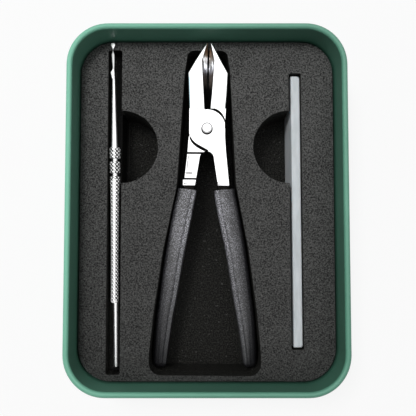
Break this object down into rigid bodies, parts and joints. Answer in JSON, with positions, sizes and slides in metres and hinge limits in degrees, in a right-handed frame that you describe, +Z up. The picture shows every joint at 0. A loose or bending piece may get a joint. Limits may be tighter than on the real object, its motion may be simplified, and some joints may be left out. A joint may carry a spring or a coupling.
{
  "type": "manicure set case",
  "caption": "Open tin tray with a foam nest that holds a lap-jointed toenail nipper, a double-ended nail lifter and a glass nail file.",
  "frame": {"origin": "centre of the tin's underside, on the surface that it stands on", "axes": "+Z up out of the open tin, +Y along the tin towards the nipper's jaws, +X to the side of the glass file"},
  "size_m": [0.1146, 0.151, 0.033],
  "materials": {
    "green_tin": "satin green enamel on thin steel sheet",
    "foam": "matt fine-celled dark grey EVA foam",
    "nipper_steel": "fine satin polished stainless steel",
    "grip": "matt black with a fine grain",
    "lifter_steel": "polished stainless steel with a knurled handle",
    "frosted_glass": "etched frosted glass"
  },
  "bodies": {
    "tin": {"tin_tray": "green_tin"},
    "foam": {"foam_base_layer": "foam", "foam_core_layer": "foam", "foam_top_layer": "foam"},
    "nipper_pivot": {"nipper_rivet": "nipper_steel"},
    "nipper_upper": {"nipper_upper_lever": "nipper_steel", "nipper_right_grip": "grip"},
    "nipper_lower": {"nipper_lower_lever": "nipper_steel", "nipper_left_grip": "grip"},
    "lifter": {"lifter_handle": "lifter_steel", "lifter_tip": "lifter_steel", "lifter_foot_shaft": "lifter_steel"},
    "file": {"glass_file": "frosted_glass"}
  },
  "joints": [
    {"name": "foam_lift", "type": "slide", "parent": "tin", "child": "foam", "axis": [0, 0, 1], "range_m": [0, 0.045]},
    {"name": "nipper_lift", "type": "slide", "parent": "foam", "child": "nipper_pivot", "axis": [0, 0, 1], "range_m": [0, 0.25]},
    {"name": "nipper_upper_hinge", "type": "hinge", "parent": "nipper_pivot", "child": "nipper_upper", "pos_m": [0, 0.0349, 0.01842], "axis": [-0.0009, -0.0872, 0.9962], "range_deg": [0, 6.88]},
    {"name": "nipper_lower_hinge", "type": "hinge", "parent": "nipper_pivot", "child": "nipper_lower", "pos_m": [0, 0.0349, 0.01842], "axis": [-0.0009, -0.0872, 0.9962], "range_deg": [-6.88, 0]},
    {"name": "lifter_lift", "type": "slide", "parent": "foam", "child": "lifter", "axis": [0, 0, 1], "range_m": [0, 0.06]},
    {"name": "file_lift", "type": "slide", "parent": "foam", "child": "file", "axis": [0, 0, 1], "range_m": [0, 0.06]}
  ],
  "couplings": [
    {"joint": "nipper_upper_hinge", "follows": "nipper_lift", "rad_per_m": 0.48},
    {"joint": "nipper_lower_hinge", "follows": "nipper_lift", "rad_per_m": -0.48}
  ]
}
